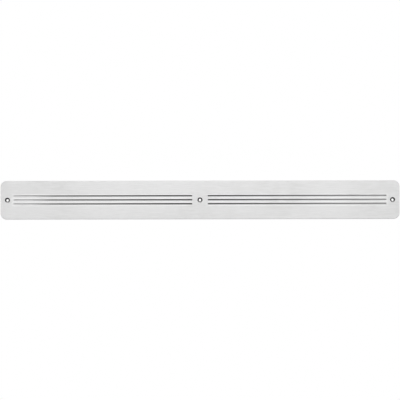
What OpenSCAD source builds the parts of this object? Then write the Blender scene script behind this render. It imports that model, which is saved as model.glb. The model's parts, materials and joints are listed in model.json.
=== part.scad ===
// Magnetic knife rack for a wall: a pressed stainless cover over a moulded tray
// that holds two banks of bar magnets.
//
// Every piece is drawn lying on its back, as on a bench: x runs along the rack,
// y across it, and z is the distance in front of the wall. hang() then stands
// it up, so the finished rack faces -Y with +Z up and the wall at y = 0. The
// origin is where the middle screw's axis meets the wall.

/* [Cover] */
// Overall length, end to end
rack_length = 500; // [480:1:540]
// Overall height of the face
rack_height = 48.3; // [48:0.1:54]
// Depth from the wall to the front face
rack_depth = 15; // [15:0.5:20]
// Radius of the four corners, seen from the front
corner_r = 7.5; // [6:0.5:10]
// Thickness of the cover's sheet
sheet = 0.8; // [0.7:0.1:1]
// Outside radius of the coined edge between the face and the skirt
edge_r = 0.5; // [0.3:0.1:0.7]

/* [Grooves] */
// Number of grooves in each half
groove_count = 3; // [1:1:4]
// Distance from one groove to the next
groove_pitch = 5; // [4:0.5:5.5]
// Width of a groove at the face
groove_w = 2.4; // [1.8:0.1:3]
// Depth of a groove below the face
groove_depth = 0.7; // [0.4:0.1:0.9]
// From the rack's middle to the near end of a groove
groove_start = 9.5; // [8:0.5:14]

/* [Wall screws] */
// Diameter of the hole for a wall screw
screw_d = 3.2; // [3:0.1:4]
// Diameter of the countersink at the face
sink_d = 6.4; // [6:0.1:7.2]
// From the rack's end to the middle of its end screw
screw_inset = 8.5; // [8:0.5:10]
// Outside diameter of the spacer tube round a wall screw
spacer_d = 6; // [5.6:0.1:6]

/* [Magnets] */
// Length of one bar magnet
magnet_l = 40; // [36:1:40]
// Width of one bar magnet
magnet_w = 22; // [18:1:22]
// Gap between neighbouring magnets
magnet_gap = 2; // [1.6:0.1:2.2]
// Thickness of the steel keeper behind a bank of magnets
keeper_t = 1.5; // [1:0.1:2]
// Thickness of the foam tape that carries the keeper
tape_t = 2; // [1.5:0.1:2.5]

/* [Tray] */
// Thickness of the tray's outer wall
tray_wall = 1.8; // [1.6:0.1:2]
// Thickness of the tray's floor
floor_t = 2; // [1.6:0.1:2.4]
// Depth of the hollow behind the floor
back_hollow = 1.95; // [1.5:0.05:2]
// Thickness of the walls round each magnet bank
pocket_wall = 1.5; // [1.2:0.1:1.6]
// Thickness of the ribs behind the floor
rib_t = 1.4; // [1:0.1:1.8]

/* [Cover studs] */
// Thread diameter of the studs welded inside the cover
stud_d = 3; // [2.5:0.5:3]
// Width across the flats of their nuts
nut_af = 5.5; // [5:0.5:5.5]
// Height of their nuts
nut_h = 2.4; // [2:0.1:2.4]

/* [Hidden] */
SIDES = [["left", -1], ["right", 1]];
CORNERS = [
    ["top_left", -1, 1],
    ["top_right", 1, 1],
    ["bottom_left", -1, -1],
    ["bottom_right", 1, -1]
];
magnet_count = 5;

$fn = 48;
cut = 1; // how far a cutter runs past the face that it opens

// Cover
skirt_end = 0.85;
face_back = rack_depth - sheet;
screw_x = rack_length / 2 - screw_inset;
groove_end = screw_x - 7.5;

// A groove is part of a round bar, sunk into the face by its depth
groove_r = (pow(groove_w / 2, 2) + pow(groove_depth, 2)) / (2 * groove_depth);
groove_axis_z = rack_depth - groove_depth + groove_r;
bead_r = groove_r + sheet;
bead_tip = groove_axis_z - bead_r;

// A countersink is pressed at 45 degrees down to a short straight lip
sink_floor = rack_depth - (sink_d - screw_d) / 2;
lip_end = sink_floor - 0.5;
sink_back_r = sink_d / 2 - sheet + sheet * sqrt(2);

// Tray
cover_gap = 0.2;
tray_length = rack_length - 2 * (sheet + cover_gap);
tray_height = rack_height - 2 * (sheet + cover_gap);
tray_r = corner_r - sheet - cover_gap;
tray_front = 12.5;
flange_t = 0.8;
flange_inset = 0.3;
floor_front = back_hollow + floor_t;
fuse = 0.6; // how far a wall or rib runs into what it grows from

// Magnet banks
bank_x = screw_x / 2;
magnet_pitch = magnet_l + magnet_gap;
bank_l = magnet_count * magnet_pitch - magnet_gap;
strip_w = magnet_w - 2;
tape_front = floor_front + tape_t;
keeper_front = tape_front + keeper_t;
magnet_front = bead_tip - 0.05;
magnet_chamfer = 0.6;
pocket_gap = 0.3;
pocket_y = magnet_w / 2 + pocket_gap;
pocket_x = bank_l / 2 + pocket_gap;
pocket_front = tray_front + 0.4;
nib_w = 1;

// Screw bosses and spacers
spacer_gap = 0.1;
boss_r = spacer_d / 2 + spacer_gap + 2.9;

// Studs, with their nuts in hollows behind the tray
stud_x = bank_x;
stud_y = (pocket_y + pocket_wall + tray_height / 2 - tray_wall) / 2;
stud_end = 0.5;
stud_chamfer = 0.25;
stud_foot_r = 2.25;
stud_foot_t = 0.7;
post_r = 3.5;
post_gap = 0.05;
post_hole_r = stud_d / 2 + 0.2;
nut_seat = 3.8;
nut_hollow_r = 4.5;
nut_cup_r = nut_hollow_r + 1;
washer_r = 3.5;
washer_t = 0.5;
gusset_t = 1.2;

// ---- Helpers ----

// Stands a piece up: bench z becomes -Y and bench y becomes +Z
module hang() {
    rotate([90, 0, 0]) children();
}

// Rectangle with rounded corners
module outline(l, h, r) {
    square([l - 2 * r, h], center = true);
    square([l, h - 2 * r], center = true);
    for (x = [-1, 1], y = [-1, 1])
        translate([x * (l / 2 - r), y * (h / 2 - r)]) circle(r);
}

// Flat slab of a rounded rectangle, from z0 to z1
module slab(l, h, r, z0, z1) {
    translate([0, 0, z0]) linear_extrude(z1 - z0) outline(l, h, r);
}

// Straight bar of round section, standing from z0 to z1
module post(r, z0, z1) {
    translate([0, 0, z0]) cylinder(h = z1 - z0, r = r);
}

// Block between two corners
module block(low, high) {
    translate(low) cube(high - low);
}

// Section through a pan's edge: r wide, from z0 to z1, its front corner bent
module pan_edge(r, bend, z0, z1) {
    translate([0, z0]) square([r - bend, z1 - z0]);
    translate([0, z0]) square([r, z1 - bend - z0]);
    translate([r - bend, z1 - bend]) circle(bend);
}

// Solid pan: a rounded rectangle whose front edge is bent over all round
module pan(l, h, r, bend, z0, z1) {
    flat_l = l - 2 * r;
    flat_h = h - 2 * r;
    block([-flat_l / 2, -flat_h / 2, z0], [flat_l / 2, flat_h / 2, z1]);
    for (turn = [0, 180]) rotate(turn) {
        translate([-flat_l / 2, flat_h / 2, 0])
            rotate([90, 0, 90]) linear_extrude(flat_l) pan_edge(r, bend, z0, z1);
        translate([flat_l / 2, flat_h / 2, 0])
            rotate([90, 0, 0]) linear_extrude(flat_h) pan_edge(r, bend, z0, z1);
        translate([flat_l / 2, flat_h / 2, 0])
            rotate_extrude(angle = 90) pan_edge(r, bend, z0, z1);
        translate([-flat_l / 2, flat_h / 2, 0])
            rotate(90) rotate_extrude(angle = 90) pan_edge(r, bend, z0, z1);
    }
}

// Round bar with ball ends, lying along x from x0 to x1
module capsule(r, x0, x1) {
    translate([x0, 0, 0]) rotate([0, 90, 0]) rotate_extrude() {
        square([r, x1 - x0]);
        intersection() {
            square([r, r * 2 + x1 - x0]);
            translate([0, x1 - x0]) circle(r);
        }
        intersection() {
            translate([0, -r]) square([r, r + x1 - x0]);
            circle(r);
        }
    }
}

// Places its child at every groove's axis, in both halves
module at_grooves() {
    for (turn = [0, 180], n = [0 : groove_count - 1])
        rotate(turn)
            translate([0, (n - (groove_count - 1) / 2) * groove_pitch, groove_axis_z])
                children();
}

// Places its child on the axis of each wall screw
module at_screws() {
    for (x = [-screw_x, 0, screw_x]) translate([x, 0, 0]) children();
}

// Places its child on the axis of each cover stud
module at_studs() {
    for (c = CORNERS) translate([c[1] * stud_x, c[2] * stud_y, 0]) children();
}

// Block with all its edges chamfered by c
module chamfered_block(l, w, h, c) {
    intersection() {
        linear_extrude(h) chamfered_square(l, w, c);
        rotate([90, 0, 0]) translate([0, h / 2, -w / 2])
            linear_extrude(w) chamfered_square(l, h, c);
        rotate([90, 0, 90]) translate([0, h / 2, -l / 2])
            linear_extrude(l) chamfered_square(w, h, c);
    }
}

// Rectangle with its corners cut off
module chamfered_square(l, w, c) {
    x = l / 2;
    y = w / 2;
    polygon([
        [x - c, -y], [x, c - y], [x, y - c], [x - c, y],
        [c - x, y], [-x, y - c], [-x, c - y], [c - x, -y]
    ]);
}

// ---- Cover ----

// Back of a countersink: the sheet pushed inwards round a hole
module sink_back() {
    rotate_extrude() polygon([
        [0, lip_end],
        [sink_back_r - (face_back - lip_end), lip_end],
        [sink_back_r, face_back],
        [sink_back_r, face_back + sheet / 2],
        [0, face_back + sheet / 2]
    ]);
}

// Cutter for a countersink and its hole
module sink_cutter() {
    rotate_extrude() polygon([
        [0, lip_end - cut],
        [screw_d / 2, lip_end - cut],
        [screw_d / 2, sink_floor],
        [sink_d / 2, rack_depth],
        [sink_d / 2, rack_depth + cut],
        [0, rack_depth + cut]
    ]);
}

// Back of a groove: the sheet pushed inwards as a long bead
module groove_back() {
    end = groove_w / 2;
    intersection() {
        capsule(bead_r, groove_start + end, groove_end - end);
        block(
            [0, -bead_r, face_back - groove_axis_z - bead_r],
            [rack_length / 2, bead_r, face_back + sheet / 2 - groove_axis_z]
        );
    }
}

module groove_cutter() {
    end = groove_w / 2;
    capsule(groove_r, groove_start + end, groove_end - end);
}

module front_cover() {
    color("silver") hang() difference() {
        union() {
            difference() {
                pan(rack_length, rack_height, corner_r, edge_r, skirt_end, rack_depth);
                slab(rack_length - 2 * sheet, rack_height - 2 * sheet, corner_r - sheet,
                    skirt_end - cut, face_back);
            }
            at_grooves() groove_back();
            at_screws() sink_back();
        }
        at_grooves() groove_cutter();
        at_screws() sink_cutter();
    }
}

// ---- Tray ----

// Tray without its inner walls: a floor between a front pocket and a back hollow
module tray_shell() {
    inner_l = tray_length - 2 * tray_wall;
    inner_h = tray_height - 2 * tray_wall;
    inner_r = tray_r - tray_wall;
    difference() {
        union() {
            slab(tray_length, tray_height, tray_r, 0, tray_front);
            slab(rack_length - 2 * flange_inset, rack_height - 2 * flange_inset,
                corner_r - flange_inset, 0, flange_t);
        }
        slab(inner_l, inner_h, inner_r, floor_front, tray_front + cut);
        slab(inner_l, inner_h, inner_r, -cut, back_hollow);
    }
}

// Frame round one bank, with nibs that keep its magnets apart
module bank_frame() {
    foot = floor_front - fuse;
    outer_x = pocket_x + pocket_wall;
    outer_y = pocket_y + pocket_wall;
    for (s = [-1, 1]) {
        translate([0, s * (pocket_y + outer_y) / 2, foot])
            linear_extrude(pocket_front - foot)
                square([2 * outer_x, pocket_wall], center = true);
        translate([s * (pocket_x + outer_x) / 2, 0, foot])
            linear_extrude(pocket_front - foot)
                square([pocket_wall, 2 * outer_y - fuse], center = true);
        for (n = [1 : magnet_count - 1])
            translate([
                (n - magnet_count / 2) * magnet_pitch,
                s * (strip_w / 2 + 0.1 + outer_y - fuse) / 2,
                foot
            ])
                linear_extrude(pocket_front - foot - 1)
                    square([nib_w, outer_y - fuse - strip_w / 2 - 0.1], center = true);
    }
}

// Ribs behind the floor: two along the tray and a row across it
module back_ribs() {
    reach_x = tray_length / 2 - tray_wall + fuse;
    reach_y = tray_height / 2 - tray_wall + fuse;
    top = back_hollow + fuse;
    for (s = [-1, 1])
        block(
            [-reach_x, s * strip_w / 2 - rib_t / 2, 0],
            [reach_x, s * strip_w / 2 + rib_t / 2, top]
        );
    for (n = [-5 : 5])
        if (n != 0)
            block(
                [n * screw_x / 6 - rib_t / 2, -reach_y, 0],
                [n * screw_x / 6 + rib_t / 2, reach_y, top]
            );
}

// Plates that tie a stud post to the walls either side of it
module gusset() {
    inner_y = pocket_y + pocket_wall - fuse - stud_y;
    outer_y = tray_height / 2 - tray_wall + fuse - stud_y;
    block(
        [-gusset_t / 2, inner_y, floor_front - fuse],
        [gusset_t / 2, outer_y, tray_front - 1]
    );
}

module rear_tray() {
    color("dimgray") hang() difference() {
        union() {
            tray_shell();
            back_ribs();
            for (s = SIDES) translate([s[1] * bank_x, 0, 0]) bank_frame();
            at_screws() post(boss_r, 0, tray_front - 0.2);
            at_studs() post(nut_cup_r, 0, nut_seat + 1.7);
            at_studs() post(post_r, nut_seat, face_back - post_gap);
            for (c = CORNERS)
                translate([c[1] * stud_x, 0, 0])
                    mirror([0, c[2] < 0 ? 1 : 0, 0]) translate([0, stud_y, 0]) gusset();
        }
        at_screws() post(spacer_d / 2 + spacer_gap, -cut, tray_front + cut);
        at_studs() post(nut_hollow_r, -cut, nut_seat);
        at_studs() post(post_hole_r, -cut, rack_depth);
        at_studs() post(stud_foot_r + 0.2, face_back - stud_foot_t - 0.1, rack_depth);
    }
}

// ---- Inside the tray ----

// Bar magnet number n of a bank, counted from the rack's middle
module magnet(side, n) {
    x = bank_x + (n - (magnet_count + 1) / 2) * magnet_pitch;
    color([0.22, 0.22, 0.23]) hang() translate([side[1] * x, 0, keeper_front])
        chamfered_block(magnet_l, magnet_w, magnet_front - keeper_front, magnet_chamfer);
}

module keeper(side) {
    color([0.66, 0.68, 0.7]) hang() translate([side[1] * bank_x, 0, 0])
        slab(bank_l, strip_w, 1, tape_front, keeper_front);
}

module foam_tape(side) {
    color([0.9, 0.9, 0.88]) hang() translate([side[1] * bank_x, 0, floor_front])
        linear_extrude(tape_t) square([bank_l, strip_w], center = true);
}

// Tube that carries a wall screw's pull from the cover to the wall
module spacer(x) {
    color([0.75, 0.76, 0.78]) hang() translate([x, 0, 0]) difference() {
        post(spacer_d / 2, 0, lip_end);
        post(screw_d / 2, -cut, lip_end + cut);
    }
}

// ---- Studs that hold the cover on the tray ----

module cover_stud(c) {
    r = stud_d / 2;
    foot = face_back - stud_foot_t;
    color([0.7, 0.7, 0.72]) hang() translate([c[1] * stud_x, c[2] * stud_y, 0])
        rotate_extrude() polygon([
            [0, stud_end],
            [r - stud_chamfer, stud_end],
            [r, stud_end + stud_chamfer],
            [r, foot],
            [stud_foot_r, foot],
            [stud_foot_r, face_back],
            [0, face_back]
        ]);
}

module stud_washer(c) {
    color([0.72, 0.73, 0.75]) hang() translate([c[1] * stud_x, c[2] * stud_y, 0])
        difference() {
            post(washer_r, nut_seat - washer_t, nut_seat);
            post(stud_d / 2 + 0.1, -cut, nut_seat + cut);
        }
}

// Hexagon nut with both faces chamfered
module stud_nut(c) {
    top = nut_seat - washer_t;
    corner = nut_af / 2 / cos(30);
    bevel = 0.3;
    color([0.72, 0.73, 0.75]) hang() translate([c[1] * stud_x, c[2] * stud_y, 0])
        difference() {
            intersection() {
                translate([0, 0, top - nut_h]) cylinder(h = nut_h, r = corner, $fn = 6);
                rotate_extrude() polygon([
                    [0, top - nut_h],
                    [nut_af / 2, top - nut_h],
                    [corner + 0.1, top - nut_h + bevel],
                    [corner + 0.1, top - bevel],
                    [nut_af / 2, top],
                    [0, top]
                ]);
            }
            post(stud_d / 2 + 0.05, -cut, nut_seat);
        }
}

// ---- Assembly ----

front_cover();
rear_tray();
spacer(-screw_x);  // spacer_left
spacer(0);  // spacer_centre
spacer(screw_x);  // spacer_right
for (s = SIDES) {
    for (n = [1 : magnet_count])
        magnet(s, n);
    keeper(s);
    foam_tape(s);
}
for (c = CORNERS) {
    cover_stud(c);
    stud_washer(c);
    stud_nut(c);
}
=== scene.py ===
# %% [markdown]
# # A magnetic knife rack, finished in Blender
# The rack is a long, shallow box that hangs on a wall: a pressed stainless cover in front, a black
# moulded tray behind it, and between them two banks of bar magnets on steel keepers. The design
# comes as a fixed frame of plain solids. This lesson gives each solid the surface, the edges and
# the finish that it has on a shop wall, and changes no size.

# %% Load the frame
import json
import math

import bmesh
import bpy
import numpy as np
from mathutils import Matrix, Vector


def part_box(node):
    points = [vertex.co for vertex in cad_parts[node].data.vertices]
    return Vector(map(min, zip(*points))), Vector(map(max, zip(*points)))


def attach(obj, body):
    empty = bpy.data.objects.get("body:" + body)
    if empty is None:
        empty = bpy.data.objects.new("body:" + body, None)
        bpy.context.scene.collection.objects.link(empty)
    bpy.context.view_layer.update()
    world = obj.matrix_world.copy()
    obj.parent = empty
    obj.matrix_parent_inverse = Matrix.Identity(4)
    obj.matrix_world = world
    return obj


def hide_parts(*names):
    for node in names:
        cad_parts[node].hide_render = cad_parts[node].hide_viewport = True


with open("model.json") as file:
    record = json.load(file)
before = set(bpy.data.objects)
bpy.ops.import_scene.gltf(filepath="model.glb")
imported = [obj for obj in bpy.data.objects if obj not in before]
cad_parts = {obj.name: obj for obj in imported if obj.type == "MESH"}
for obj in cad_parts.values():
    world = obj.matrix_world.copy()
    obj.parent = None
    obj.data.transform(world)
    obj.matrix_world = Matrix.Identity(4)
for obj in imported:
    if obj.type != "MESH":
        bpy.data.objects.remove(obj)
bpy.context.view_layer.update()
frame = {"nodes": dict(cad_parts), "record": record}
MM = 0.001
mounts = {m["name"]: m for m in frame["record"]["mounts"]}
nodes = frame["nodes"]

# %% [markdown]
# ## The camera
# A long flat thing is shown best from straight in front and from far away, because a long lens
# keeps both ends the same height. The distance is chosen first; the lens then follows from it by
# similar triangles, so that the rack fills the picture from side to side.

# %% Camera straight in front
RACK_SHARE = 0.99675  # of the picture's width, taken by the rack's length
CAMERA_DISTANCE = 4.0
CAMERA_DROP = -0.05 * MM
CAMERA_ROLL = math.radians(0.1)
SENSOR = 36.0

cover_low, cover_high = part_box("front_cover")
rack_length = cover_high.x - cover_low.x
shown_width = rack_length / RACK_SHARE
camera_data = bpy.data.cameras.new("camera")
camera_data.sensor_width = SENSOR
camera_data.lens = SENSOR * CAMERA_DISTANCE / shown_width
camera = bpy.data.objects.new("camera", camera_data)
bpy.context.scene.collection.objects.link(camera)
camera.location = (0.0, cover_low.y - CAMERA_DISTANCE, CAMERA_DROP)
camera.rotation_euler = (math.pi / 2, CAMERA_ROLL, 0.0)
bpy.context.scene.camera = camera
print("lens", round(camera_data.lens, 1), "mm at", CAMERA_DISTANCE, "m")

# %% [markdown]
# ## A bench for surfaces
# Every new piece here is a sheet of points laid out in rows and columns. A `Surface` gathers such
# sheets: `lay` adds the points and hands back their numbers in the same rows and columns, and
# `skin` covers rows and columns of numbers with four-sided faces. Because the numbers can be cut,
# stacked and joined like any array, a rim or a hole can start from the very points it grows from,
# and no seam is left to weld.

# %% Surface: sheets of points and their faces
class Surface:
    """Gathers points, their place on the flat sheet, a 0 to 1 mask, and faces, all as arrays."""

    def __init__(self):
        self.points, self.flat, self.mask, self.faces, self.count = [], [], [], [], 0

    def lay(self, points, flat=None, mask=0.0):
        """Adds points of any layout (..., 3) and returns their numbers in that layout."""
        shape = points.shape[:-1]
        size = int(np.prod(shape))
        flat = points[..., [0, 2]] if flat is None else flat
        self.points.append(points.reshape(size, 3))
        self.flat.append(np.broadcast_to(flat, shape + (2,)).reshape(size, 2))
        self.mask.append(np.broadcast_to(mask, shape).reshape(size))
        numbers = self.count + np.arange(size).reshape(shape)
        self.count += size
        return numbers

    def skin(self, rows, around=False, turned=False, keep=None):
        """Covers rows and columns of numbers with quads; around closes them into a ring."""
        if around:
            rows = np.concatenate([rows, rows[:, :1]], axis=1)
        quads = np.stack([rows[:-1, :-1], rows[:-1, 1:], rows[1:, 1:], rows[1:, :-1]], axis=-1)
        quads = quads.reshape(-1, 4) if keep is None else quads[keep]
        self.faces.append(quads[:, ::-1] if turned else quads)

    def fan(self, ring, turned=False):
        """Closes a ring of numbers with one point at its middle, shared by a fan of triangles."""
        points = np.concatenate(self.points)[ring]
        middle = self.lay(points.mean(axis=0)[None, :], mask=np.concatenate(self.mask)[ring].mean())
        ahead = np.roll(ring, -1)
        spokes = np.stack([ring, ahead, np.full_like(ring, middle[0])], axis=-1)
        self.faces.append(spokes[:, ::-1] if turned else spokes)

    def build(self, name, node, mask_name="edge", sharp=35.0):
        """Makes the mesh with its flat map and its mask. It hangs on the root body, and the CAD
        node that it stands for is hidden."""
        mesh = bpy.data.meshes.new(name)
        points = np.concatenate(self.points)
        mesh.from_pydata(points.tolist(), [], [f for part in self.faces for f in part.tolist()])
        corners = np.empty(len(mesh.loops), dtype=np.int32)
        mesh.loops.foreach_get("vertex_index", corners)
        sheet = mesh.uv_layers.new(name="sheet")
        flat = np.concatenate(self.flat)[corners].astype(np.float32)
        sheet.uv.foreach_set("vector", flat.ravel())
        mask = mesh.attributes.new(mask_name, "FLOAT", "POINT")
        mask.data.foreach_set("value", np.concatenate(self.mask).astype(np.float32))
        mesh.shade_smooth()
        mesh.set_sharp_from_angle(angle=math.radians(sharp))
        mesh.validate()
        piece = bpy.data.objects.new(name, mesh)
        bpy.context.scene.collection.objects.link(piece)
        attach(piece, "root")
        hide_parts(node)
        print(name, "has", len(mesh.polygons), "faces")
        return piece


def border(block):
    """Numbers round the edge of a block of rows and columns, anticlockwise from its low corner."""
    return np.concatenate([block[0, :-1], block[:-1, -1], block[-1, :0:-1], block[:0:-1, 0]])


# %% [markdown]
# ## The cover: lines where the shape needs them
# The cover is one pressed sheet: a flat face, three shallow round-bottomed grooves in each half,
# a countersink at each screw, and an edge bent back into a skirt. One way to model it is to carve
# a block with booleans, but that leaves long thin triangles round every groove and the light
# shows them. Here the face is a grid whose lines crowd where the surface turns. Across a groove
# they are equal steps of an angle seen edge-on, so they bunch at the two lips by themselves.

# %% Grid lines of the face
CORNER_R = 7.5 * MM  # corner of the face, seen from the front
SHEET = 0.8 * MM
GROOVE_PITCH = 5.0 * MM
GROOVE_WIDTH = 2.4 * MM
GROOVE_DEPTH = 0.7 * MM
GROOVE_START = 9.5 * MM  # from the rack's middle
GROOVE_STOP_SHORT = 7.5 * MM  # from the end screw
LIP_EASE = 0.05 * MM  # how softly a groove's lip turns over
LIP_REACH = 1.9 * MM  # half the band in which the lines crowd
HAIR = 0.001 * MM  # less than any gap between lines
TILE = 5.0 * MM  # half the side of the square cut out round a screw
TILE_END = 4.5 * MM  # the same, along the rack, at the end screws
FLAT_END = 246.0 * MM  # where the grid stops and the rim takes over
FLAT_TOP = 20.0 * MM

half_length, half_height = cover_high.x, cover_high.z
face_y, skirt_y = cover_low.y, cover_high.y
screw_x = mounts["screw_hole_right"]["pos_m"][0]
screw_r = mounts["screw_hole_right"]["dims"]["r_mm"] * MM
corner_x, corner_z = half_length - CORNER_R, half_height - CORNER_R
groove_r = (GROOVE_WIDTH**2 / 4 + GROOVE_DEPTH**2) / (2 * GROOVE_DEPTH)
groove_from = GROOVE_START + GROOVE_WIDTH / 2
groove_to = screw_x - GROOVE_STOP_SHORT - GROOVE_WIDTH / 2
groove_z = GROOVE_PITCH * np.array([-1.0, 0.0, 1.0])


def crowded(middle, count, turn_from=-0.5, turn_to=0.5):
    """Lines at middle + reach * sin(angle), the angle in equal steps of a half turn's share."""
    return middle + LIP_REACH * np.sin(np.pi * np.linspace(turn_from, turn_to, count))


def to_corner(start, stop, count):
    """Lines that rays in equal steps from 0 to 45 degrees cut on the side of a square."""
    return start + (stop - start) * np.tan(np.linspace(0.0, np.pi / 4, count))


def mirrored(lines):
    """Lines on both sides of zero, each once and in order."""
    lines = np.unique(np.round(lines, 9))
    return np.unique(np.concatenate([-lines, lines]))


lines_x = mirrored(np.concatenate([
    np.linspace(0.0, TILE, 8),
    crowded(groove_from, 14, -0.5, 0.0),
    np.linspace(groove_from, groove_to, 32),
    crowded(groove_to, 14, 0.0, 0.5),
    np.linspace(screw_x - TILE_END, corner_x, 8),
    to_corner(corner_x, FLAT_END, 8),
]))
lines_z = mirrored(np.concatenate([
    *[crowded(z, 29) for z in groove_z[1:]],
    [GROOVE_PITCH / 2],
    np.linspace(GROOVE_PITCH + LIP_REACH, corner_z, 7)[1:],
    to_corner(corner_z, FLAT_TOP, 8),
]))
print("the face is a grid of", len(lines_x), "by", len(lines_z), "lines")


# %% [markdown]
# ## The cover: one rule for both faces of the sheet
# A bent sheet has two faces a constant distance apart. So each part of the shape is written as a
# rule with an `inset`: 0 gives the face you see, and the sheet's thickness gives the face behind.
# A groove is the print of a round bar: under its middle line the depth is the bar's circle less
# the part of it that stays outside the face. For the back of the sheet the circle simply grows.

# %% Depth of the grooves and the shape of a countersink
SINK_R = 3.2 * MM
SINK_EASE = 0.25 * MM  # radius of the countersink's mouth
UNSHADED_MOUTH = 0.06 * MM  # depth down to which the countersink gets no painted shade
LOWER_WALL_SHADE = 0.38  # share of the painted shade left on a groove's lower wall, which faces up
LOWER_SHADE_TREND = 0.16  # how much less painted shade that wall has at the right end, and more at the left
SHADE_FADE = 0.9 * MM  # how far across a groove that share takes to change
SHADE_MIDDLE = 0.65  # how far it has changed on the groove's middle line
SINK_MASK = 2.0  # the painted-shade mask in a countersink; in a groove it goes up to 1
LIP_END = 2.1 * MM  # depth at which the hole's straight lip ends
EDGE_R = 0.5 * MM  # outside radius of the coined edge between face and skirt
INNER_R = 0.1 * MM  # radius of the same edge behind
BREAK = 0.06 * MM  # small chamfer where the sheet is cut


def groove_depth(x, z, inset):
    """Depth at (x, z): the bar's circle about the nearest groove line, through a soft maximum
    with zero, which rounds the lip: ease * log(1 + exp(depth / ease))."""
    along = np.maximum(groove_from - np.abs(x), 0.0) + np.maximum(np.abs(x) - groove_to, 0.0)
    across = np.abs(z[..., None] - groove_z).min(axis=-1)
    circle = np.sqrt(np.maximum((groove_r + inset) ** 2 - along**2 - across**2, 0.0))
    depth = circle - (groove_r - GROOVE_DEPTH + inset)
    return LIP_EASE * np.log1p(np.exp(depth / LIP_EASE))


def shade_across(x, z):
    """How much painted shade lies across a groove: all of it on the upper wall, which faces down,
    falling to a smaller share on the lower wall, which faces up and takes painted light."""
    over = z[..., None] - groove_z
    nearest = np.take_along_axis(over, np.abs(over).argmin(axis=-1)[..., None], axis=-1)[..., 0]
    wiped_and_lit = LOWER_WALL_SHADE - LOWER_SHADE_TREND * x / half_length
    return wiped_and_lit + (1.0 - wiped_and_lit) * np.clip(SHADE_MIDDLE + nearest / SHADE_FADE, 0.0, 1.0)


def sink_profile(inset):
    """Rings (radius, depth, mask) of a 45 degree countersink: eased mouth, cone and short lip.
    The mouth keeps the sheet's colour, and the painted-shade mask is SINK_MASK from a little way
    down the cone. Behind, the cone lies the sheet's thickness further out."""
    cone_foot = SINK_R - screw_r
    if inset == 0.0:
        turn = np.linspace(0.0, np.pi / 4, 6)
        mouth_r = SINK_R + SINK_EASE * math.tan(np.pi / 8)
        mouth = [(mouth_r - SINK_EASE * math.sin(a), SINK_EASE * (1 - math.cos(a)), 0.0)
                 for a in turn]
        rings = [(SINK_R + 0.6 * MM, 0.0, 0.0)]
        rings += mouth + [(SINK_R - UNSHADED_MOUTH, UNSHADED_MOUTH, 0.0)]
        rings += [(SINK_R - d, d, SINK_MASK) for d in cone_foot * np.array([0.12, 0.45, 0.7, 0.96])]
        rings += [(screw_r, cone_foot + BREAK, SINK_MASK), (screw_r, LIP_END - BREAK, SINK_MASK)]
        return np.array(rings + [(screw_r + BREAK, LIP_END, SINK_MASK)])
    back_r = SINK_R - inset + inset * math.sqrt(2)
    fall = LIP_END - inset
    rings = [(back_r + 0.4 * MM, 0.0, 0.0), (back_r + 0.1 * MM, 0.0, 0.0)]
    rings += [(back_r - d, d, 0.0) for d in fall * np.array([0.08, 0.5, 0.94])]
    return np.array(rings + [(back_r - fall - BREAK, fall, 0.0)])


def edge_profile(inset):
    """Rings (distance out, depth, length along the flattened sheet) from the flat over the edge
    and down the skirt: a quarter circle, then a straight fall to the cut end."""
    reach = CORNER_R - inset
    bend = max(EDGE_R - inset, INNER_R)
    foot = reach - bend
    drop = skirt_y - face_y - inset
    turn = np.linspace(0.0, np.pi / 2, 8)
    fall = np.array([0.06, 0.3, 0.65, 1.0]) * (drop - bend - BREAK)
    cut = reach + (BREAK if inset else -BREAK)
    out = np.concatenate([[foot - 0.3 * MM], foot + bend * np.sin(turn), np.full(4, reach), [cut]])
    depth = np.concatenate([[0.0], bend * (1 - np.cos(turn)), bend + fall, [drop]])
    run = np.concatenate([[foot - 0.3 * MM], foot + bend * turn, foot + bend * np.pi / 2 + fall])
    return np.column_stack([out, depth, np.append(run, run[-1] + BREAK)])


# %% Lay one face of the sheet
def lay_rings(surface, loop, centre, heading, profile, base_y, run):
    """Carries a loop of points along a profile: each ring is centre + heading * distance, at its
    depth; run is the distance on the flattened sheet. Returns all the rings, the loop first."""
    plan = centre + heading * profile[:, None, None, 0]
    flat = centre + heading * run[:, None, None]
    depth = np.broadcast_to(base_y + profile[:, 1, None], plan.shape[:2])
    points = np.stack([plan[..., 0], depth, plan[..., 1]], axis=-1)
    rings = surface.lay(points, flat, profile[:, 2, None])
    return np.vstack([loop, rings])


def lay_countersink(surface, grid, keep, middle, reach, inset):
    """Leaves a square out of the grid round a screw and carries its border down the countersink.
    Returns the last ring."""
    left, right = np.searchsorted(lines_x, [middle - reach - HAIR, middle + reach - HAIR])
    low, high = np.searchsorted(lines_z, [-TILE - HAIR, TILE - HAIR])
    keep[low:high, left:right] = False
    loop = border(grid[low : high + 1, left : right + 1])
    plan = np.concatenate(surface.points)[loop][:, [0, 2]] - (middle, 0.0)
    heading = plan / np.linalg.norm(plan, axis=1, keepdims=True)
    profile = sink_profile(inset)
    fallen = np.hypot(np.diff(profile[:, 0]), np.diff(profile[:, 1]))
    run = profile[0, 0] - np.concatenate([[0.0], np.cumsum(fallen)])
    centre = np.array([middle, 0.0])
    rings = lay_rings(surface, loop, centre, heading, profile, face_y + inset, run)
    surface.skin(rings, around=True, turned=inset > 0.0)
    return rings[-1]


def lay_rim(surface, grid, inset):
    """Carries the border of the whole grid over the edge and down the skirt. The nearest point of
    the face without its corners gives each ray its start. Returns the last ring."""
    loop = border(grid)
    plan = np.concatenate(surface.points)[loop][:, [0, 2]]
    centre = np.clip(plan, (-corner_x, -corner_z), (corner_x, corner_z))
    heading = (plan - centre) / np.linalg.norm(plan - centre, axis=1, keepdims=True)
    profile = edge_profile(inset)
    run = profile[:, 2].copy()
    profile[:, 2] = 0.0
    rings = lay_rings(surface, loop, centre, heading, profile, face_y + inset, run)
    surface.skin(rings, around=True, turned=inset == 0.0)
    return rings[-1]


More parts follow.
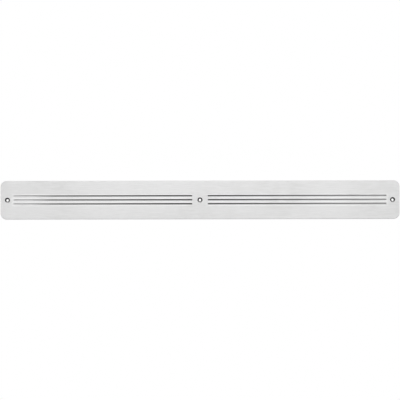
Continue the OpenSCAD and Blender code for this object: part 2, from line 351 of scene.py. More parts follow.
def lay_face(surface, inset):
    """Grid, countersinks and rim of one face of the sheet. Returns the last ring of each, for
    the other face to be joined to."""
    x, z = np.meshgrid(lines_x, lines_z)
    depth = groove_depth(x, z, inset)
    # The mask is where the cover's colour gets painted shade: the groove's depth times the share
    # across it.
    mask = 0.0 if inset else np.clip(depth / GROOVE_DEPTH, 0.0, 1.0) * shade_across(x, z)
    grid = surface.lay(np.stack([x, face_y + inset + depth, z], axis=-1), mask=mask)
    keep = np.ones((len(lines_z) - 1, len(lines_x) - 1), dtype=bool)
    squares = ((-screw_x, TILE_END), (0.0, TILE), (screw_x, TILE_END))
    ends = [lay_countersink(surface, grid, keep, middle, reach, inset) for middle, reach in squares]
    surface.skin(grid, turned=inset > 0.0, keep=keep)
    return ends, lay_rim(surface, grid, inset)


# %% Make the cover
sheet_metal = Surface()
front_ends, front_rim = lay_face(sheet_metal, 0.0)
back_ends, back_rim = lay_face(sheet_metal, SHEET)
for front_end, back_end in zip(front_ends, back_ends, strict=True):
    sheet_metal.skin(np.vstack([front_end, back_end]), around=True)
sheet_metal.skin(np.vstack([front_rim, back_rim]), around=True, turned=True)
cover = sheet_metal.build("cover_sheet", "front_cover", mask_name="hollow")

# %% [markdown]
# ## The small turned parts: one profile, carried round an axis
# Spacers, washers, studs and nuts are all turned or pressed round an axis square to the wall. A
# primitive cylinder would do for their size, but not for what the eye looks for: the broken edges
# that catch the light. So each is a profile, a short list of (radius, depth, edge) worked out
# from its box in the frame, carried round the axis. `edge` says how near a point is to a worn
# corner, and the materials use it later.

# %% Turned shapes
ROUND = 48  # columns round a turned part


def axis_of(node):
    """Centre (x, z) of a node's box, its largest radius, and its back and front y."""
    low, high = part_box(node)
    return ((low.x + high.x) / 2, (low.z + high.z) / 2), (high.x - low.x) / 2, high.y, low.y


def carry_round(surface, centre, radius, y, edge, closed):
    """Points at centre + radius * (cos, sin) of a full turn; radius and y are (rings, columns).
    A closed profile meets itself, and an open one is closed by a fan at each end."""
    angle = np.linspace(0.0, 2 * np.pi, radius.shape[1], endpoint=False)
    x, z = centre[0] + radius * np.cos(angle), centre[1] + radius * np.sin(angle)
    steps = np.hypot(np.diff(radius[:, 0]), np.diff(y[:, 0]))
    run = np.concatenate([[0.0], np.cumsum(steps)])[:, None]
    flat = np.stack(np.broadcast_arrays(radius.max() * angle, run), axis=-1)
    rings = surface.lay(np.stack([x, y, z], axis=-1), flat, edge)
    if closed:
        rings = np.vstack([rings, rings[:1]])
    else:
        surface.fan(rings[0], turned=True)
        surface.fan(rings[-1])
    surface.skin(rings, around=True)


def corner_arc(r, y, size, start, stop, count=4):
    """A rounded corner of a profile: centre (r, y), quarter turn between two angles in degrees."""
    turn = np.radians(np.linspace(start, stop, count))
    return np.column_stack([r + size * np.cos(turn), y + size * np.sin(turn), np.ones(count)])


def ring_profile(inner, outer, back, front, size):
    """Closed profile of a tube or washer, its four corners rounded by size; y falls forwards."""
    return np.vstack([
        corner_arc(outer - size, back - size, size, 90, 0),
        corner_arc(outer - size, front + size, size, 0, -90),
        corner_arc(inner + size, front + size, size, -90, -180),
        corner_arc(inner + size, back - size, size, 180, 90),
    ])


def turned_ring(name, node, inner, size):
    """A tube or washer that fills a node's box."""
    centre, outer, back, front = axis_of(node)
    profile = ring_profile(inner, outer, back, front, size)
    radius, y, edge = profile.T[:, :, None] * np.ones(ROUND)
    surface = Surface()
    carry_round(surface, centre, radius, y, edge, closed=True)
    return surface.build(name, node)


# %% Spacers round the wall screws, and the stud washers
CORNERS = [f"{level}_{side}" for level in ("top", "bottom") for side in ("left", "right")]
WASHER_BORE = 1.6 * MM
SPACER_ROUND = 0.2 * MM  # how far the corners are rounded
WASHER_ROUND = 0.12 * MM

spacers = [turned_ring(f"spacer_tube_{place}", f"spacer_{place}", screw_r, SPACER_ROUND)
           for place in ("left", "centre", "right")]
washers = [turned_ring(f"washer_{corner}", f"stud_washer_{corner}", WASHER_BORE, WASHER_ROUND)
           for corner in CORNERS]

# %% [markdown]
# ## Threaded studs and their nuts
# The cover has no screws through its face except the three that go into the wall. Four studs are
# welded to its back instead, and nuts behind the tray pull the two together. A thread is a radius
# that falls and rises once per pitch as you go along, and the wave is turned a little further for
# each step round: radius = root + height * wave(length / pitch - turn). A nut is a six-sided
# prism whose corners are cut by a cone, which is why each flat ends in an arc.

# %% Studs
PITCH = 0.5 * MM  # M3 coarse
STUD_R = 1.48 * MM
ROOT_R = 1.2 * MM
THREAD_STEP = PITCH / 8
THREAD_COLUMNS = 24
FOOT_HIGH = 0.7 * MM  # the plain foot that is welded to the cover
TIP_LONG = 0.35 * MM  # the chamfer at the free end


def threaded_stud(corner):
    """A weld stud: threaded shank with a chamfered end, and a plain foot against the cover. The
    thread is a wave with flat crests and roots, which runs out into the foot."""
    node = f"cover_stud_{corner}"
    centre, foot_r, back, front = axis_of(node)
    foot_y = front + FOOT_HIGH
    length = np.arange(0.0, back - foot_y, THREAD_STEP)
    turn = np.linspace(0.0, 1.0, THREAD_COLUMNS, endpoint=False)
    phase = (length[:, None] / PITCH - turn) % 1.0
    wave = np.clip(1.35 - 2.7 * np.abs(phase - 0.5), 0.0, 1.0)
    taper = np.clip((length[:, None] + 0.05 * MM) / TIP_LONG, 0.0, 1.0)
    runout = np.clip((length[-1] - length[:, None]) / PITCH, 0.0, 1.0)
    crest = ROOT_R + (STUD_R - ROOT_R) * np.minimum(wave * runout + 1.0 - runout, taper)
    shank_y = np.broadcast_to(back - length[:, None], crest.shape)
    foot = np.array([
        [STUD_R, foot_y + 0.02 * MM, 0.0], [foot_r - 0.1 * MM, foot_y, 0.5],
        [foot_r, foot_y - 0.1 * MM, 1.0], [foot_r, front + 0.08 * MM, 1.0],
        [foot_r - 0.08 * MM, front, 0.5],
    ])
    foot_radius, foot_depth, foot_edge = foot.T[:, :, None] * np.ones(THREAD_COLUMNS)
    radius = np.vstack([crest, foot_radius])
    y = np.vstack([shank_y, foot_depth])
    edge = np.vstack([wave, foot_edge])
    surface = Surface()
    carry_round(surface, centre, radius, y, edge, closed=False)
    return surface.build(f"threaded_stud_{corner}", node)


studs = [threaded_stud(corner) for corner in CORNERS]

# %% Nuts
NUT_BORE = 1.55 * MM
NUT_MOUTH = 0.3 * MM  # how far the bore opens at each end
NUT_BEVEL = 0.3 * MM  # how far the cone cuts the corners back
NUT_EASE = 0.06 * MM


def hexagon_nut(corner):
    """A nut: flats at half_flats / cos(angle from the flat's middle), both ends cut by a cone."""
    node = f"stud_nut_{corner}"
    centre, corner_r, back, front = axis_of(node)
    half_flats = corner_r * math.cos(math.pi / 6)
    angle = np.linspace(0.0, 2 * np.pi, ROUND, endpoint=False)
    hexagon = half_flats / np.cos((angle % (np.pi / 3)) - np.pi / 6)
    sunk = NUT_BEVEL * (hexagon - half_flats) / (corner_r - half_flats)
    level = np.ones(ROUND)
    lower = [
        (NUT_BORE * level, (back - NUT_MOUTH - 0.05 * MM) * level, 0.0),
        ((NUT_BORE + NUT_MOUTH) * level, back * level, 1.0),
        ((half_flats - 2 * NUT_EASE) * level, back * level, 0.0),
        (hexagon - NUT_EASE, back - 0.8 * sunk - NUT_EASE / 3, 1.0),
        (hexagon, back - sunk - NUT_EASE, 1.0),
        (hexagon, back - sunk - 4 * NUT_EASE, 0.0),
    ]
    upper = [(r, back + front - y, edge) for r, y, edge in reversed(lower)]
    radius, y, edge = zip(*(lower + upper), strict=True)
    surface = Surface()
    carry_round(surface, centre, np.array(radius), np.array(y),
                np.array(edge)[:, None] * level, closed=True)
    return surface.build(f"hexagon_nut_{corner}", node, sharp=25.0)


nuts = [hexagon_nut(corner) for corner in CORNERS]

# %% [markdown]
# ## Magnets, keepers and foam: blocks with honest edges
# Ferrite is pressed and sintered like pottery, so its bars have chamfered edges that chip. The
# keeper is a strip of rolled steel cut by a shear. The foam tape is soft: squeezed between keeper
# and tray it bulges at its sides. All three are the same surface, an outline with rounded corners
# carried through its thickness, and only the profile of the edge differs.

# %% Blocks
ARC = 5  # points on each corner of an outline


def outline(half_x, half_z, corner, side):
    """Points round a rectangle with rounded corners: four quarter circles, joined by sides that
    have a point every `side` or so, anticlockwise from the right-hand side."""
    turn = np.linspace(0.0, np.pi / 2, ARC)
    signs = [(1, 1), (-1, 1), (-1, -1), (1, -1)]
    corners = [
        np.column_stack([sx * (half_x - corner) + corner * np.cos(turn + k * np.pi / 2),
                         sz * (half_z - corner) + corner * np.sin(turn + k * np.pi / 2)])
        for k, (sx, sz) in enumerate(signs)
    ]
    loop = []
    for k, arc in enumerate(corners):
        stop = corners[(k + 1) % 4][0]
        count = max(1, round(float(np.linalg.norm(stop - arc[-1]) / side)))
        share = np.linspace(0.0, 1.0, count + 1)[1:-1, None]
        loop += [arc, arc[-1] + share * (stop - arc[-1])]
    return np.concatenate(loop)


def block(name, node, corner, profile, side):
    """Carries an outline through a node's box. profile rows are (how far inwards, share of the
    thickness from the back, edge)."""
    low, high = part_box(node)
    centre = np.array([low.x + high.x, low.z + high.z]) / 2
    half = np.array([high.x - low.x, high.z - low.z]) / 2
    loop = outline(half[0], half[1], corner, side)
    inward = loop - np.clip(loop, corner - half, half - corner)
    inward /= np.maximum(np.linalg.norm(inward, axis=1, keepdims=True), 1e-9)
    profile = np.asarray(profile, dtype=float)
    plan = centre + loop - inward * profile[:, None, :1]
    y = np.broadcast_to(high.y + (low.y - high.y) * profile[:, 1, None], plan.shape[:2])
    flat = plan + np.array([0.0, 1.0]) * (high.y - y)[..., None]
    points = np.stack([plan[..., 0], y, plan[..., 1]], axis=-1)
    surface = Surface()
    rings = surface.lay(points, flat, profile[:, 2, None])
    surface.fan(rings[0], turned=True)
    surface.fan(rings[-1])
    surface.skin(rings, around=True)
    return surface.build(name, node)


def both_edges(edge_rows):
    """The rows of one edge, and the same mirrored for the other."""
    return edge_rows + [(inward, 1.0 - share, edge) for inward, share, edge in reversed(edge_rows)]


# %% Make the magnets, the keepers and the foam tapes
SIDES = ("left", "right")
BARS = range(1, 6)  # magnets on each side
HARD_CORNER = 1.0 * MM  # of a magnet or a keeper, seen from the front
FOAM_CORNER = 0.5 * MM
SHORT_STEP = 3.9 * MM  # between the points along a side
LONG_STEP = 8.0 * MM
FOAM_BULGE = 0.25 * MM

magnet_edge = both_edges([
    (0.75 * MM, 0.0, 0.0), (0.55 * MM, 0.0, 1.0), (0.06 * MM, 0.085, 1.0), (0.0, 0.115, 0.0),
])
keeper_edge = both_edges([
    (0.35 * MM, 0.0, 0.0), (0.12 * MM, 0.0, 1.0), (0.0, 0.08, 1.0), (0.0, 0.25, 0.0),
])
foam_edge = both_edges([
    (FOAM_BULGE * (1 - math.sin(turn)), 0.5 - 0.5 * math.cos(turn), 0.0)
    for turn in np.linspace(0.0, np.pi / 2, 7)[:-1]
])
magnets = [block(f"ferrite_bar_{side}_{n}", f"magnet_{side}_{n}", HARD_CORNER, magnet_edge,
                 SHORT_STEP) for side in SIDES for n in BARS]
keepers = [block(f"keeper_strip_{side}", f"keeper_{side}", HARD_CORNER, keeper_edge, LONG_STEP)
           for side in SIDES]
foams = [block(f"foam_strip_{side}", f"foam_tape_{side}", FOAM_CORNER, foam_edge, SHORT_STEP)
         for side in SIDES]

# %% [markdown]
# ## The tray
# The tray is one moulding with ribs, bosses, pockets and posts, and the frame already holds its
# true shape. What a mould adds is a small radius on every edge, and that is a modifier's work. A
# node's own mesh stays as it is, so the tray is a copy whose loose triangles are merged into one
# skin and whose flat faces are joined again, so that the bevel meets only true edges.

# %% Tray with moulded edges
MOULD_R = 0.25 * MM
FLAT_ANGLE = math.radians(0.5)
BEVEL_FROM = math.radians(40.0)

tray_mesh = bpy.data.meshes.new("tray_moulding")
skin = bmesh.new()
skin.from_mesh(nodes["rear_tray"].data)
bmesh.ops.remove_doubles(skin, verts=skin.verts, dist=HAIR)
bmesh.ops.dissolve_limit(skin, angle_limit=FLAT_ANGLE, verts=skin.verts, edges=skin.edges)
skin.to_mesh(tray_mesh)
skin.free()
tray_mesh.shade_smooth()
tray = bpy.data.objects.new("tray_moulding", tray_mesh)
bpy.context.scene.collection.objects.link(tray)
bevel = tray.modifiers.new("moulded edges", "BEVEL")
bevel.width = MOULD_R
bevel.segments = 2
bevel.limit_method = "ANGLE"
bevel.angle_limit = BEVEL_FROM
bevel.harden_normals = True
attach(tray, "root")
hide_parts("rear_tray")
print("tray has", len(tray_mesh.polygons), "faces before its bevel")

# %% [markdown]
# ## A short way to write shader nodes
# A material is a drawing of boxes and lines, and it is easier to read as nested calls: each call
# adds one node, and each input is either a value or the output of another call.

# %% Node helpers
def feed(tree, made, inputs):
    """Fills a node's sockets: a value is set, and an output of another node is linked."""
    for key, value in inputs.items():
        if isinstance(value, bpy.types.NodeSocket):
            tree.links.new(value, made.inputs[key])
        else:
            made.inputs[key].default_value = value
    return made


def add(tree, kind, inputs=None, **settings):
    """Adds one shader node. An input is a value for its socket, or an output to link from."""
    made = tree.nodes.new("ShaderNode" + kind)
    for key, value in settings.items():
        setattr(made, key, value)
    return feed(tree, made, inputs or {})


def calc(tree, operation, first, second=0.0, third=0.0):
    """One sum: ADD, MULTIPLY, MULTIPLY_ADD and so on."""
    inputs = {0: first, 1: second, 2: third}
    return add(tree, "Math", inputs, operation=operation).outputs[0]


def spread(tree, value, low, high, to_low=0.0, to_high=1.0):
    """Maps low..high to another range along a smooth S curve, and holds it there outside."""
    inputs = {"Value": value, "From Min": low, "From Max": high,
              "To Min": to_low, "To Max": to_high}
    return add(tree, "MapRange", inputs, interpolation_type="SMOOTHSTEP").outputs[0]


def tint(tree, factor, first, second):
    """Mixes two colours by a factor. In a Mix node set to colours, they are sockets 6 and 7."""
    made = add(tree, "Mix", data_type="RGBA")
    return feed(tree, made, {0: factor, 6: first, 7: second}).outputs[2]


def stretched(tree, place, scale):
    """Stretches a place for a texture: each axis times its own number."""
    return add(tree, "VectorMath", {0: place, 1: scale}, operation="MULTIPLY").outputs[0]


def grey(value):
    """A colour with no hue."""
    return (value, value, value, 1.0)


def new_group(name, inputs, outputs):
    """A node group with named sockets: inputs are (name, kind, value), outputs (name, kind)."""
    group = bpy.data.node_groups.new(name, "ShaderNodeTree")
    for label, kind, value in inputs:
        socket = group.interface.new_socket(label, in_out="INPUT", socket_type="NodeSocket" + kind)
        if value is not None:
            socket.default_value = value
    for label, kind in outputs:
        group.interface.new_socket(label, in_out="OUTPUT", socket_type="NodeSocket" + kind)
    given, result = group.nodes.new("NodeGroupInput"), group.nodes.new("NodeGroupOutput")
    return group, given.outputs, result.inputs


def use(tree, group, inputs):
    """Places a group in a material with its own values, and returns its outputs."""
    made = tree.nodes.new("ShaderNodeGroup")
    made.node_tree = group
    return feed(tree, made, inputs).outputs


# %% [markdown]
# ## Effects that several finishes share
# Each finish here is made with one or more of four effects: grain left by an abrasive belt or a
# cutting tool, marks left by handling, corners worn bright, and dust that lies on what faces up.
# Each is a node group, so that it is drawn once and tuned in each material by its own inputs.

# %% Group: directional grain
FINER = (3.1, 2.7, 2.7)  # how much finer the second noise is, along and across


def make_grain():
    """Streaks from two noises, stretched along X of the place they are given. Grain is around
    0.5; Height is the same for a bump."""
    group, given, result = new_group(
        "directional_grain",
        [("Place", "Vector", None), ("Along", "Float", 60.0), ("Across", "Float", 3000.0)],
        [("Grain", "Float"), ("Height", "Float")],
    )
    axes = {0: given["Along"], 1: given["Across"], 2: given["Across"]}
    scale = add(group, "CombineXYZ", axes).outputs[0]
    long_place = stretched(group, given["Place"], scale)
    fine_place = stretched(group, long_place, FINER)
    coarse = add(group, "TexNoise", {"Vector": long_place, "Scale": 1.0, "Detail": 3.0})
    fine = add(group, "TexNoise", {"Vector": fine_place, "Scale": 1.0, "Detail": 2.0})
    both = calc(group, "ADD", calc(group, "MULTIPLY", coarse.outputs[0], 0.6),
                calc(group, "MULTIPLY", fine.outputs[0], 0.4))
    group.links.new(spread(group, both, 0.3, 0.7), result["Grain"])
    group.links.new(both, result["Height"])
    return group


# %% Group: handling marks
def make_handling():
    """Soft cloudy patches and, inside them, finer smears: Mask is 0 clean to 1 handled."""
    group, given, result = new_group(
        "handling_marks", [("Place", "Vector", None), ("Size", "Float", 0.05)], [("Mask", "Float")]
    )
    scale = calc(group, "DIVIDE", 1.0, given["Size"])
    cloud = add(group, "TexNoise", {"Vector": given["Place"], "Scale": scale, "Detail": 2.0})
    wiped_and_lit = stretched(group, given["Place"], (1.0, 1.0, 3.5))
    finer = calc(group, "MULTIPLY", scale, 5.0)
    smear = add(group, "TexNoise", {"Vector": wiped_and_lit, "Scale": finer, "Detail": 4.0})
    patch = spread(group, cloud.outputs[0], 0.4, 0.68)
    streaks = spread(group, smear.outputs[0], 0.3, 0.7)
    group.links.new(calc(group, "MULTIPLY", patch, streaks), result["Mask"])
    return group


# %% Group: worn corners
def make_edge_wear():
    """Breaks an edge mask up with noise: Mask is 1 where the corner is rubbed bright."""
    group, given, result = new_group(
        "edge_wear", [("Edge", "Float", 0.0), ("Place", "Vector", None), ("Size", "Float", 0.002)],
        [("Mask", "Float")],
    )
    scale = calc(group, "DIVIDE", 1.0, given["Size"])
    noise = add(group, "TexNoise", {"Vector": given["Place"], "Scale": scale, "Detail": 3.0})
    chips = spread(group, noise.outputs[0], 0.35, 0.62, 0.25, 1.0)
    group.links.new(calc(group, "MULTIPLY", given["Edge"], chips), result["Mask"])
    return group


# %% Group: settled dust
def make_dust():
    """Dust on what faces up, thinned by a fine noise: Mask is 1 under full dust."""
    group, given, result = new_group(
        "settled_dust", [("Place", "Vector", None), ("Amount", "Float", 0.3)], [("Mask", "Float")]
    )
    normal = add(group, "NewGeometry").outputs["Normal"]
    upward = spread(group, add(group, "SeparateXYZ", {0: normal}).outputs["Z"], 0.35, 1.0)
    specks = add(group, "TexNoise", {"Vector": given["Place"], "Scale": 900.0, "Detail": 3.0})
    thin = calc(group, "MULTIPLY", upward, spread(group, specks.outputs[0], 0.35, 0.7))
    group.links.new(calc(group, "MULTIPLY", thin, given["Amount"]), result["Mask"])
    return group


grain, handling, edge_wear, dust = make_grain(), make_handling(), make_edge_wear(), make_dust()
print("shared effects:", [g.name for g in (grain, handling, edge_wear, dust)])

# %% [markdown]
# ## Brushed stainless
# The sheet is run under an abrasive belt before it is pressed, so fine streaks follow its length,
# also round the bends: the pattern is laid on the flattened sheet, the `sheet` map. Pressing
# leaves the grooves and the countersinks dull. Their colour carries painted shade, darkest in the
# middle of the rack, on the grooves' upper walls and down the countersinks, with painted light on
# their lower sides. Beside and between the grooves, a brighter band is a painted highlight. A
# brushed metal spreads a highlight across its grain, which is what Anisotropic does, with the
# Tangent node giving it the grain's direction.

# %% Starting a material
def start(name):
    """A new material: its tree and its Principled shader."""
    made = bpy.data.materials.new(name)
    made.use_nodes = True
    return made, made.node_tree, made.node_tree.nodes["Principled BSDF"]


def bump(tree, shader, height, distance, strength=1.0):
    """Raises the surface by height times distance."""
    made = add(tree, "Bump", {"Height": height, "Distance": distance, "Strength": strength})
    tree.links.new(made.outputs[0], shader.inputs["Normal"])


# %% Parts of the stainless finish
# how bright the painted shade leaves a groove, from the rack's left end (0) to its right end (1)
GROOVE_SHADE = [(0.03, 0.74), (0.075, 0.76), (0.13, 0.32), (0.42, 0.025), (0.62, 0.08), (0.95, 0.31)]
CONE_SHADE = 0.014  # painted shade of the cone, halved and doubled in turn by the drill's rings
SINK_LIT_SIDE = 0.75  # grey of a countersink's lowest side, which faces up: painted light
BAND_TOP = (7.1 * MM, 7.9 * MM)  # where the painted highlight band fades, up and down from the middle
BAND_START = (8.0 * MM, 11.0 * MM)  # the same along the rack, beside the middle screw
BAND_STOP = (233.0 * MM, 238.0 * MM)  # and before the end screws


def highlight_band(tree, axes):
    """Mask: 1 on the band that carries a painted highlight, beside and between the grooves."""
    height = calc(tree, "ABSOLUTE", axes["Z"])
    along = calc(tree, "ABSOLUTE", axes["X"])
    beyond = spread(tree, along, *BAND_START)
    before = spread(tree, along, *BAND_STOP, 1.0, 0.0)
    beside = spread(tree, height, *BAND_TOP, 1.0, 0.0)
    return calc(tree, "MULTIPLY", beside, calc(tree, "MULTIPLY", beyond, before))


def groove_shade(tree, axes):
    """Colour of the painted shade in the grooves, by how far along the rack a place is: darkest
    near the middle.
    """
    along = calc(tree, "MULTIPLY_ADD", axes["X"], 1.0 / rack_length, 0.5)
    shade_ramp = add(tree, "ValToRGB", {0: along})
    ramp = shade_ramp.color_ramp.elements
    while len(ramp) < len(GROOVE_SHADE):
        ramp.new(0.5)
    for stop, (position, level) in zip(ramp, GROOVE_SHADE, strict=True):
        stop.position, stop.color = position, grey(level)
    return shade_ramp.outputs[0]


def shaded_cone(tree, axes):
    """Colour of a countersink: near-black painted shade, broken into the rings that the drill has
    cut by a noise of the radius from the nearest screw; the lowest side, which faces up, is painted
    light."""
    nearest = calc(tree, "ROUND", calc(tree, "DIVIDE", axes["X"], screw_x))
    off_x = calc(tree, "SUBTRACT", axes["X"], calc(tree, "MULTIPLY", nearest, screw_x))
    off_screw = add(tree, "CombineXYZ", {0: off_x, 2: axes["Z"]}).outputs[0]
    radius = add(tree, "VectorMath", {0: off_screw}, operation="LENGTH").outputs["Value"]
    turned = add(tree, "TexNoise", {"W": radius, "Scale": 6000.0}, noise_dimensions="1D").outputs[0]
    cut = tint(tree, spread(tree, turned, 0.35, 0.65), grey(CONE_SHADE / 2), grey(CONE_SHADE * 2))
    return tint(tree, spread(tree, axes["Z"], -0.8 * MM, -2.6 * MM), cut, grey(SINK_LIT_SIDE))


# %% Material: stainless
def stainless_finish():
    """Light steel, streaked along the sheet, with painted shade in the hollows and a painted
    highlight band by the grooves.
    """
    made, tree, shader = start("brushed_stainless")
    sheet_place = add(tree, "UVMap", uv_map="sheet").outputs[0]
    place = add(tree, "TexCoord").outputs["Object"]
    axes = add(tree, "SeparateXYZ", {0: place}).outputs
    # the hollow mask says how much painted shade each place of the cover takes; it also dulls them
    hollow = add(tree, "Attribute", attribute_name="hollow").outputs["Fac"]
    streak = use(tree, grain, {"Place": sheet_place, "Along": 45.0, "Across": 2600.0})
    marks = use(tree, handling, {"Place": place, "Size": 0.07})["Mask"]
    sunk = spread(tree, hollow, 0.26, 0.68)
    steel = tint(tree, streak["Grain"], grey(0.75), grey(0.87))
    # painted highlight: a brighter band beside and between the grooves
    steel = tint(tree, calc(tree, "MULTIPLY", highlight_band(tree, axes), 0.8), steel, grey(0.94))
    steel = tint(tree, calc(tree, "MULTIPLY", marks, 0.35), steel, (0.72, 0.72, 0.71, 1.0))
    # painted shade in the grooves, darkest on their upper walls and in the middle of the rack
    steel = tint(tree, sunk, steel, groove_shade(tree, axes))
    # painted shade down each countersink, with painted light on its lowest side
    steel = tint(tree, spread(tree, hollow, 1.0, 1.6), steel, shaded_cone(tree, axes))
    tree.links.new(steel, shader.inputs["Base Color"])
    rough = calc(tree, "MULTIPLY_ADD", streak["Grain"], 0.12, 0.27)
    rough = calc(tree, "MULTIPLY_ADD", marks, 0.05, rough)
    tree.links.new(calc(tree, "MULTIPLY_ADD", sunk, 0.15, rough), shader.inputs["Roughness"])
    tangent = add(tree, "Tangent", direction_type="UV_MAP", uv_map="sheet").outputs[0]
    tree.links.new(tangent, shader.inputs["Tangent"])
    shader.inputs["Metallic"].default_value = 1.0
    shader.inputs["Anisotropic"].default_value = 0.5
    shader.inputs["Anisotropic Rotation"].default_value = 0.25
    bump(tree, shader, streak["Height"], 0.009 * MM)
    return made


# %% [markdown]
# ## Black plastic
# The tray is moulded ABS. The mould is spark-eroded, which leaves an even, fine, pebbly skin, and
# where hands hold it the skin is polished a little. It is nearly black but never fully: the grain
# and a little dust on the upper ledges lift it.

# %% Material: black ABS
def black_plastic():
    """Near-black plastic with a spark-eroded skin: cells of two sizes raise it by hundredths."""
    made, tree, shader = start("moulded_black_abs")
    place = add(tree, "TexCoord").outputs["Object"]
    marks = use(tree, handling, {"Place": place, "Size": 0.04})["Mask"]
    settled = use(tree, dust, {"Place": place, "Amount": 0.12})["Mask"]
    pebble = add(tree, "TexVoronoi", {"Vector": place, "Scale": 3200.0}, feature="SMOOTH_F1")
    swell = add(tree, "TexNoise", {"Vector": place, "Scale": 1500.0, "Detail": 3.0})
    skin = calc(tree, "MULTIPLY", pebble.outputs[0], 0.4)
    skin = calc(tree, "MULTIPLY_ADD", swell.outputs[0], 0.6, skin)
    black, less_black = (0.016, 0.016, 0.017, 1.0), (0.026, 0.026, 0.027, 1.0)
    colour = tint(tree, spread(tree, skin, 0.3, 0.7), black, less_black)
    colour = tint(tree, settled, colour, (0.32, 0.31, 0.29, 1.0))
    tree.links.new(colour, shader.inputs["Base Color"])
    rough = calc(tree, "MULTIPLY_ADD", marks, -0.12, 0.56)
    tree.links.new(calc(tree, "MULTIPLY_ADD", skin, 0.1, rough), shader.inputs["Roughness"])
    bump(tree, shader, skin, 0.03 * MM, 0.7)
    return made


# %% [markdown]
# ## Ferrite, steel strip, zinc, copper and foam
# Inside, each part keeps the finish of its trade. Ferrite is a grey-black ceramic, ground on its
# broad faces, with paler chips along its edges. The keepers are rolled strip with a thin bright
# zinc coat, cloudy from the bath. Nuts and washers have the same coat, rubbed on their corners.
# The spacers show the rings of the lathe tool. Weld studs are flashed with copper so that they
# weld cleanly, and it rubs off the thread's crests. The foam is closed cells, cut open in places.

# %% Materials: metals
def bright_metal(name, pale, deep, worn, along, across, rough):
    """A metal that varies between two tones along its grain, and is rubbed on its corners."""
    made, tree, shader = start(name)
    pale, deep, worn = (tone + (1.0,) for tone in (pale, deep, worn))
    sheet_place = add(tree, "UVMap", uv_map="sheet").outputs[0]
    place = add(tree, "TexCoord").outputs["Object"]
    edge = add(tree, "Attribute", attribute_name="edge").outputs["Fac"]
    streak = use(tree, grain, {"Place": sheet_place, "Along": along, "Across": across})
    marks = use(tree, handling, {"Place": place, "Size": 0.012})["Mask"]
    rubbed = use(tree, edge_wear, {"Edge": edge, "Place": place, "Size": 0.0015})["Mask"]
    colour = tint(tree, streak["Grain"], deep, pale)
    colour = tint(tree, calc(tree, "MULTIPLY", marks, 0.4), colour, deep)
    tree.links.new(tint(tree, rubbed, colour, worn), shader.inputs["Base Color"])
    dull = calc(tree, "MULTIPLY_ADD", marks, 0.14, rough)
    tree.links.new(calc(tree, "MULTIPLY_ADD", rubbed, -0.1, dull), shader.inputs["Roughness"])
    shader.inputs["Metallic"].default_value = 1.0
    bump(tree, shader, streak["Height"], 0.006 * MM)
    return made


# %% Material: ferrite
def ferrite_finish():
    """Grey-black ceramic: fine pits, long grinding lines, and paler chips on its edges."""
    made, tree, shader = start("sintered_ferrite")
    place = add(tree, "TexCoord").outputs["Object"]
    edge = add(tree, "Attribute", attribute_name="edge").outputs["Fac"]
    streak = use(tree, grain, {"Place": place, "Along": 30.0, "Across": 1400.0})
    chipped = use(tree, edge_wear, {"Edge": edge, "Place": place, "Size": 0.001})["Mask"]
    pits = add(tree, "TexVoronoi", {"Vector": place, "Scale": 1800.0}).outputs[0]
    pitted = spread(tree, pits, 0.12, 0.3, 1.0, 0.0)
    colour = tint(tree, streak["Grain"], grey(0.035), grey(0.06))
    colour = tint(tree, pitted, colour, grey(0.018))
    tree.links.new(tint(tree, chipped, colour, grey(0.11)), shader.inputs["Base Color"])
    tree.links.new(calc(tree, "MULTIPLY_ADD", pitted, 0.25, 0.42), shader.inputs["Roughness"])
    relief = calc(tree, "MULTIPLY_ADD", pitted, -1.5, streak["Height"])
    bump(tree, shader, relief, 0.02 * MM)
    return made


# %% Material: foam
def foam_finish():
    """Pale closed-cell foam: rounded cells with darker walls between them, dulled by handling."""
    made, tree, shader = start("closed_cell_foam")
    place = add(tree, "TexCoord").outputs["Object"]
    cells = add(tree, "TexVoronoi", {"Vector": place, "Scale": 2600.0}, feature="SMOOTH_F1")
    cells = cells.outputs[0]
    marks = use(tree, handling, {"Place": place, "Size": 0.02})["Mask"]
    hollow_cell = spread(tree, cells, 0.15, 0.6)
    colour = tint(tree, hollow_cell, (0.60, 0.60, 0.57, 1.0), (0.80, 0.80, 0.77, 1.0))
    colour = tint(tree, calc(tree, "MULTIPLY", marks, 0.5), colour, (0.55, 0.54, 0.50, 1.0))
    tree.links.new(colour, shader.inputs["Base Color"])
    tree.links.new(calc(tree, "MULTIPLY_ADD", hollow_cell, 0.12, 0.8), shader.inputs["Roughness"])
    shader.inputs["Sheen Weight"].default_value = 0.2
    bump(tree, shader, cells, 0.12 * MM, 0.8)
    return made


# %% Give each piece its finish
def dress(parts, finish):
    """Gives the same finish to each of several pieces."""
    for part in parts:
        part.data.materials.clear()
        part.data.materials.append(finish)
    print(finish.name, "on", len(parts), "pieces")


dress([cover], stainless_finish())
dress([tray], black_plastic())
dress(magnets, ferrite_finish())
dress(foams, foam_finish())
for parts, name, pale, deep, worn, along, across, rough in [
    (keepers, "zinc_coated_strip", (0.72, 0.73, 0.76), (0.52, 0.54, 0.58), (0.80, 0.80, 0.80),
     25.0, 900.0, 0.32),
    (spacers, "turned_stainless", (0.76, 0.76, 0.75), (0.58, 0.58, 0.57), (0.85, 0.85, 0.84),
     40.0, 5000.0, 0.28),
    (studs, "copper_flashed_steel", (0.82, 0.52, 0.38), (0.55, 0.34, 0.25), (0.66, 0.63, 0.60),
     300.0, 3000.0, 0.3),
    (nuts + washers, "rubbed_zinc_plate", (0.74, 0.76, 0.79), (0.56, 0.58, 0.62),
     (0.84, 0.84, 0.84), 400.0, 2500.0, 0.26),
]:
    dress(parts, bright_metal(name, pale, deep, worn, along, across, rough))

# %% [markdown]
# ## The studio
# A pale floor, a sky that is brightest at the horizon, as between two white walls, and one broad
# soft light above and in front of the rack. What the camera sees behind the rack is plain white,
# as in a catalogue, while the metal mirrors the sky and the floor themselves.

# %% Floor
FLOOR_Z = -0.32
FLOOR_REACH = 7.0
FLOOR_GREY = 0.66

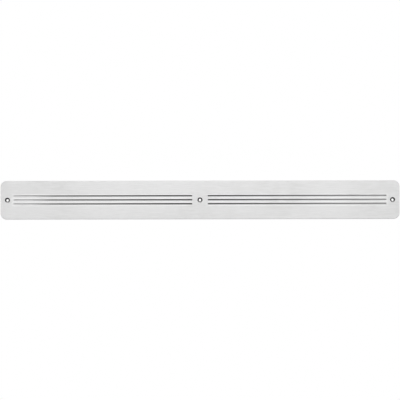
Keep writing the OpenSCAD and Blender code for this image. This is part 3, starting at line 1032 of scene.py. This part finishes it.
floor_corners = [(-1, -1, 0), (1, -1, 0), (1, 1, 0), (-1, 1, 0)]
floor_points = FLOOR_REACH * np.array(floor_corners) + (0.0, 0.0, FLOOR_Z)
floor_mesh = bpy.data.meshes.new("floor")
floor_mesh.from_pydata(floor_points.tolist(), [], [(0, 1, 2, 3)])
floor = bpy.data.objects.new("floor", floor_mesh)
bpy.context.scene.collection.objects.link(floor)
floor_paint, floor_tree, floor_shader = start("pale_floor")
floor_shader.inputs["Base Color"].default_value = grey(FLOOR_GREY)
floor_shader.inputs["Roughness"].default_value = 0.9
seen = add(floor_tree, "LightPath").outputs["Is Camera Ray"]
white = add(floor_tree, "Emission", {"Color": grey(1.0)}).outputs[0]
both = add(floor_tree, "MixShader", {0: seen, 1: floor_shader.outputs[0], 2: white}).outputs[0]
floor_tree.links.new(both, floor_tree.nodes["Material Output"].inputs["Surface"])
floor_mesh.materials.append(floor_paint)

# %% Sky
SKY_TOP = 0.6  # strength overhead
SKY_LEVEL = 1.46  # and at the horizon
SKY_SIDE = 0.5  # how much of the light is left far out to the sides


def make_sky():
    """White to the camera. To everything else, brightest at the horizon, and falling off upwards
    and towards both sides."""
    world = bpy.data.worlds.new("studio")
    bpy.context.scene.world = world
    world.use_nodes = True
    tree = world.node_tree
    tree.nodes.clear()
    axes = add(tree, "SeparateXYZ", {0: add(tree, "TexCoord").outputs["Generated"]}).outputs
    strength = spread(tree, axes["Z"], 0.05, 0.5, SKY_LEVEL, SKY_TOP)
    side = spread(tree, calc(tree, "ABSOLUTE", axes["X"]), 0.4, 0.95, 1.0, SKY_SIDE)
    strength = calc(tree, "MULTIPLY", strength, side)
    mirrored_sky = add(tree, "Background", {"Color": grey(1.0), "Strength": strength}).outputs[0]
    seen_sky = add(tree, "Background", {"Color": grey(1.0), "Strength": 1.0}).outputs[0]
    seen = add(tree, "LightPath").outputs["Is Camera Ray"]
    both = add(tree, "MixShader", {0: seen, 1: mirrored_sky, 2: seen_sky}).outputs[0]
    add(tree, "OutputWorld", {"Surface": both})


make_sky()
bpy.context.scene.view_settings.view_transform = "Standard"


# %% Soft light
def soft_light(name, place, target, size, power):
    """A square soft light at a place, facing a target."""
    data = bpy.data.lights.new(name, "AREA")
    data.size, data.energy = size, power
    lamp = bpy.data.objects.new(name, data)
    bpy.context.scene.collection.objects.link(lamp)
    lamp.location = place
    facing = Vector(target) - Vector(place)
    lamp.rotation_euler = facing.to_track_quat("-Z", "Y").to_euler()
    lamp.visible_camera = False


soft_light("key", place=(0.04, -0.75, 0.5), target=(0.0, 0.0, 0.0), size=0.6, power=0.7)
